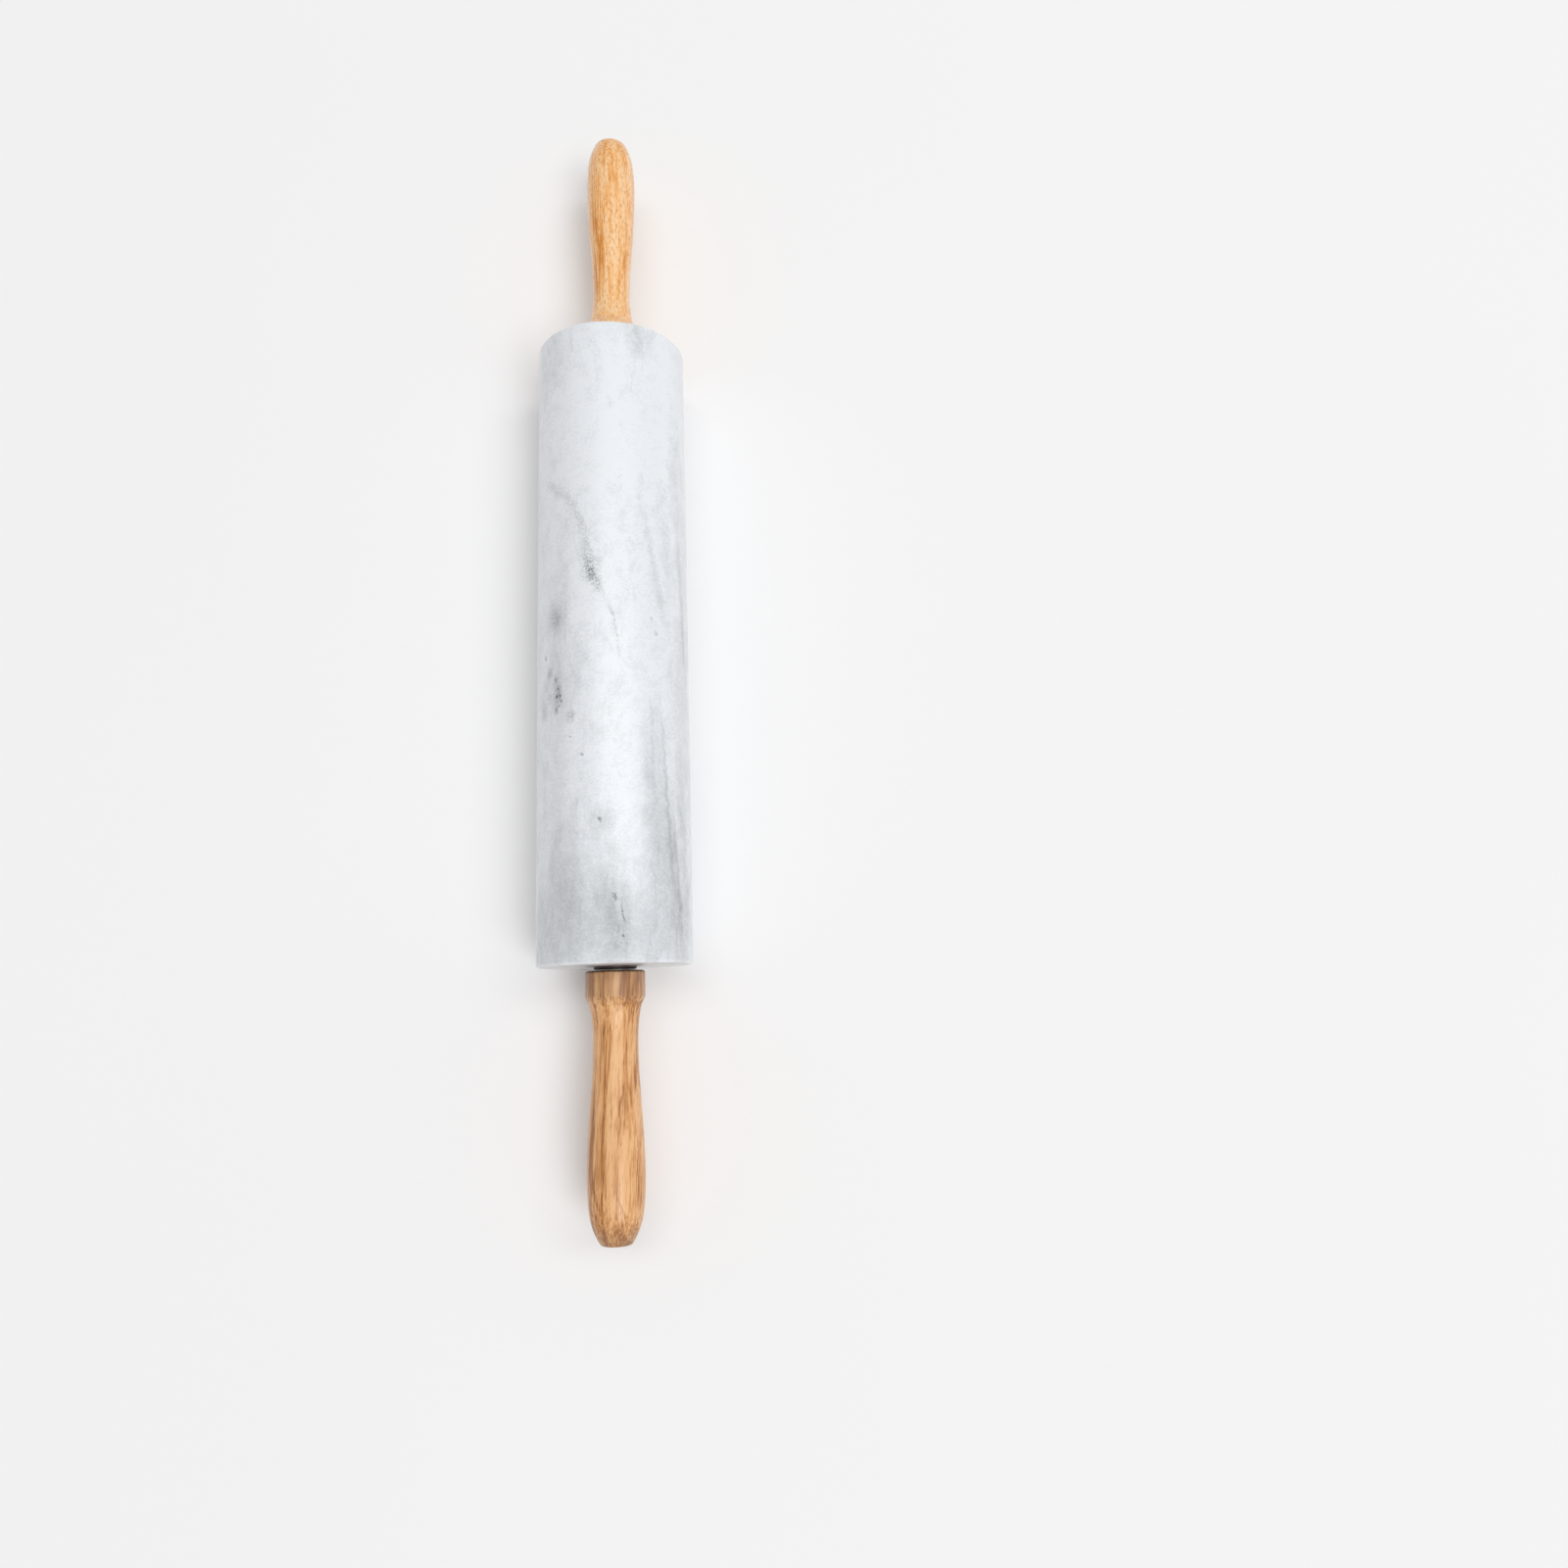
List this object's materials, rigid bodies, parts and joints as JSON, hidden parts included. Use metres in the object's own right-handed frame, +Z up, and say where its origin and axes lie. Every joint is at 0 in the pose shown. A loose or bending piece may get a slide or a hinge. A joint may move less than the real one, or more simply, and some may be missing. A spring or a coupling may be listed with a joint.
{
  "type": "marble rolling pin",
  "caption": "Marble rolling pin: a round stone barrel that spins freely on a steel rod between turned wooden handles.",
  "frame": {"origin": "on the spin axis, at the middle of the barrel", "axes": "+Y along the spin axis towards the far handle, +Z up with the pin lying on its barrel, +X to the right as seen from the near handle"},
  "size_m": [0.06, 0.4572, 0.06],
  "materials": {
    "marble": "honed, soft grey veins",
    "brown_wood": "turned, satin clear finish, long brown grain",
    "honey_wood": "turned, satin clear finish, short fine pores",
    "nylon": "moulded, dark brown, satin",
    "steel": "drawn bar, plain",
    "washer_steel": "stamped, plain",
    "brass": "turned, plain"
  },
  "bodies": {
    "handle_frame": {"axle_rod": "steel", "thrust_washer_near": "washer_steel", "thrust_washer_far": "washer_steel", "insert_near": "brass", "insert_far": "brass", "handle_near": "brown_wood", "handle_far": "honey_wood"},
    "barrel": {"marble_barrel": "marble", "bushing_near": "nylon", "bushing_far": "nylon"}
  },
  "joints": [
    {"name": "barrel_spin", "type": "hinge", "parent": "handle_frame", "child": "barrel", "pos_m": [0, 0, 0], "axis": [0, 1, 0], "continuous": true}
  ]
}
